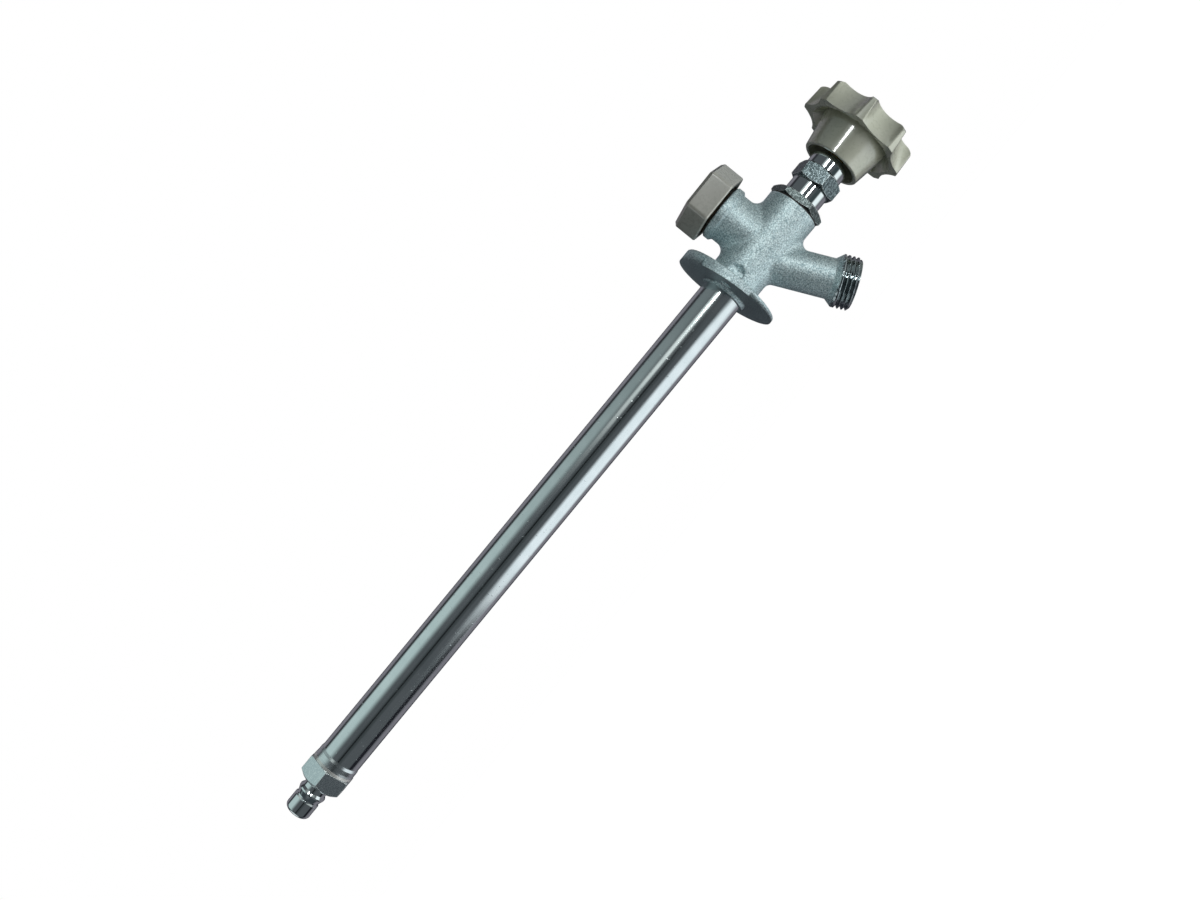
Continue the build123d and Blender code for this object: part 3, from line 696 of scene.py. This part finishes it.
# Pale floor, seen by the camera only: the light that falls on the object comes past it
floorLook = {
    "drop": 300,  # mm below the tube's axis; the tap hangs on its wall above it
    "size": 8000,
    "colour": "#f4f4f4",
    "glow": 0.95,
}
floorMesh = bpy.data.meshes.new("floor")
half = floorLook["size"] / 2 * mm
low = -floorLook["drop"] * mm
corners = [(-half, -half, low), (half, -half, low), (half, half, low), (-half, half, low)]
floorMesh.from_pydata(corners, [], [(0, 1, 2, 3)])
floor = addObject("floor", floorMesh)

floorMaterial, tree = newMaterial("paleFloor")
path = addNode(tree, "ShaderNodeLightPath")
matt = addNode(tree, "ShaderNodeBsdfDiffuse", {"Color": floorLook["colour"]})[0]
shine = {"Color": (1, 1, 1, 1), "Strength": floorLook["glow"]}
glow = addNode(tree, "ShaderNodeEmission", shine)[0]
glowing = addNode(tree, "ShaderNodeAddShader", [matt, glow])[0]
lookedAt = addNode(tree, "ShaderNodeMixShader", [path["Is Camera Ray"], matt, glowing])[0]
clear = addNode(tree, "ShaderNodeBsdfTransparent")[0]
bouncing = [path["Is Glossy Ray"], path["Is Diffuse Ray"]]
bounced = addNode(tree, "ShaderNodeMath", bouncing, operation="MAXIMUM")[0]
seen = addNode(tree, "ShaderNodeMixShader", [bounced, lookedAt, clear])[0]
addNode(tree, "ShaderNodeOutputMaterial", {"Surface": seen})
floorMesh.materials.append(floorMaterial)


# Studio: white for the camera, soft light on matt surfaces,
# and for shiny ones a dark room with the cards that stand round the object
studio = {
    "softColour": "#f4f6f6",
    "allRound": 0.06,  # strength of the soft light from everywhere
    "keyLight": 6.5,  # and of the broad light that falls on the matt surfaces
    "keyFocus": 12,  # how much it gathers where it comes from
    "keyFrom": (0.41, -0.57, -0.71),  # below the lens and past the handle, as off a white table
    "backLight": 1.6,  # a second one, from behind and above
    "backFocus": 8,
    "backFrom": (0.3, 0.78, 0.55),
    "shine": 1.3,  # makes up for what plated metal swallows
    "front": "#4d5154",  # the dark room in front of the object, and the wall behind it
    "behind": "#77747b",
    "frontToBehind": (95, 122),  # degrees round the tube
}
# Each card: angle round the tube in degrees (0 towards the camera, 90 up), half width, soft edge,
# colour, and the stretch of directions along the tube in which it fades in
cards = [
    {"name": "upperWindow", "angle": 68, "half": 14, "edge": 34, "colour": "#afc0bf",
     "along": (0.34, -0.26)},
    {"name": "upperGap", "angle": 103, "half": 4, "edge": 10, "colour": "#2c2d31"},
    {"name": "frontGap", "angle": -12, "half": 7, "edge": 12, "colour": "#3c4143",
     "along": (0.22, 0.1)},
    {"name": "frontLine", "angle": -9, "half": 1.5, "edge": 4, "colour": "#121416",
     "along": (0.22, 0.1)},
    {"name": "lowerGap", "angle": -92, "half": 7, "edge": 8, "colour": "#1c1c22",
     "along": (-0.1, -0.17)},
    {"name": "lowerSoftbox", "angle": -82, "half": 8, "edge": 20, "colour": "#f0f7f8",
     "along": (-0.19, -0.1)},
    {"name": "lowerSpill", "angle": -84, "half": 20, "edge": 22, "colour": "#e6eef2",
     "along": (0.25, 0.15), "from": (-0.19, -0.1)},
    {"name": "lowFrontGap", "angle": -52, "half": 8, "edge": 9, "colour": "#3a4345",
     "along": (0.16, 0.26)},
    {"name": "farWall", "angle": 180, "half": 22, "edge": 20, "colour": "#3b3d43"},
    {"name": "stripGlow", "angle": 20, "half": 4, "edge": 11, "colour": "#d0d8d6",
     "along": (-0.03, 0.12)},
]
roomEnds = [
    {"name": "wallEnd", "colour": "#363c40", "along": (-0.68, -0.84)},  # back towards the wall
    {"name": "leftEnd", "colour": "#c2c9ca", "along": (-0.88, -0.95)},  # straight along the tube
    {"name": "rightEnd", "colour": "#a9aeac", "along": (0.62, 0.78)},  # out past the handle
]

world = bpy.data.worlds.new("studio")
bpy.context.scene.world = world
world.use_nodes = True
tree = world.node_tree
tree.nodes.clear()
direction = addNode(tree, "ShaderNodeTexCoord")["Generated"]


def makeRoom():  # what the shiny surfaces see
    along, depth, height = addNode(tree, "ShaderNodeSeparateXYZ", [direction])
    outward = addNode(tree, "ShaderNodeMath", [depth, -1], operation="MULTIPLY")[0]
    turned = addNode(tree, "ShaderNodeMath", [height, outward], operation="ARCTAN2")[0]
    angle = addNode(tree, "ShaderNodeMath", [turned], operation="DEGREES")[0]
    away = addNode(tree, "ShaderNodeMath", [angle], operation="ABSOLUTE")[0]
    areas = [(studio["behind"], [(away, *studio["frontToBehind"])])]
    for card in cards:
        aside = addNode(tree, "ShaderNodeMath", [angle, card["angle"]], operation="SUBTRACT")[0]
        aside = addNode(tree, "ShaderNodeMath", [aside, 180, -180], operation="WRAP")[0]
        aside = addNode(tree, "ShaderNodeMath", [aside], operation="ABSOLUTE")[0]
        edges = [(aside, card["half"] + card["edge"], card["half"])]
        edges += [(along, *card[stretch]) for stretch in ("along", "from") if stretch in card]
        areas.append((card["colour"], edges))
    areas += [(end["colour"], [(along, *end["along"])]) for end in roomEnds]
    room = studio["front"]
    for colour, edges in areas:  # each shows where none of its edges has faded out
        mask = None
        for source, zero, one in edges:  # a smooth step from 0 at zero to 1 at one
            ends = [zero, one, 0, 1] if zero < one else [one, zero, 1, 0]
            share = addNode(
                tree, "ShaderNodeMapRange", [source, *ends], interpolation_type="SMOOTHSTEP"
            )[0]
            if mask is not None:
                share = addNode(tree, "ShaderNodeMath", [mask, share], operation="MULTIPLY")[0]
            mask = share
        room = addNode(tree, "ShaderNodeMix", {0: mask, 6: room, 7: colour}, data_type="RGBA")[2]
    return addNode(tree, "ShaderNodeBackground", {"Color": room, "Strength": studio["shine"]})[0]


def softFrom(place, focus, strength):  # a broad light, strongest where it comes from
    facing = addNode(tree, "ShaderNodeVectorMath", [direction, place], operation="DOT_PRODUCT")
    halved = [facing["Value"], 0.5, 0.5]
    share = addNode(tree, "ShaderNodeMath", halved, operation="MULTIPLY_ADD")[0]
    share = addNode(tree, "ShaderNodeMath", [share, 0.001], operation="MAXIMUM")[0]
    share = addNode(tree, "ShaderNodeMath", [share, focus], operation="POWER")[0]
    return addNode(tree, "ShaderNodeMath", [share, strength], operation="MULTIPLY")[0]


def makeSoftLight():  # what the matt surfaces see
    key = softFrom(studio["keyFrom"], studio["keyFocus"], studio["keyLight"])
    back = softFrom(studio["backFrom"], studio["backFocus"], studio["backLight"])
    both = addNode(tree, "ShaderNodeMath", [key, back], operation="ADD")[0]
    strength = addNode(tree, "ShaderNodeMath", [both, studio["allRound"]], operation="ADD")[0]
    soft = {"Color": studio["softColour"], "Strength": strength}
    return addNode(tree, "ShaderNodeBackground", soft)[0]


path = addNode(tree, "ShaderNodeLightPath")
white = addNode(tree, "ShaderNodeBackground", {"Color": (1, 1, 1, 1), "Strength": 1.0})[0]
mattThenShiny = [path["Is Glossy Ray"], makeSoftLight(), makeRoom()]
lighting = addNode(tree, "ShaderNodeMixShader", mattThenShiny)[0]
final = addNode(tree, "ShaderNodeMixShader", [path["Is Camera Ray"], lighting, white])[0]
addNode(tree, "ShaderNodeOutputWorld", {"Surface": final})

bpy.context.scene.view_settings.view_transform = "Standard"
print("studio done")
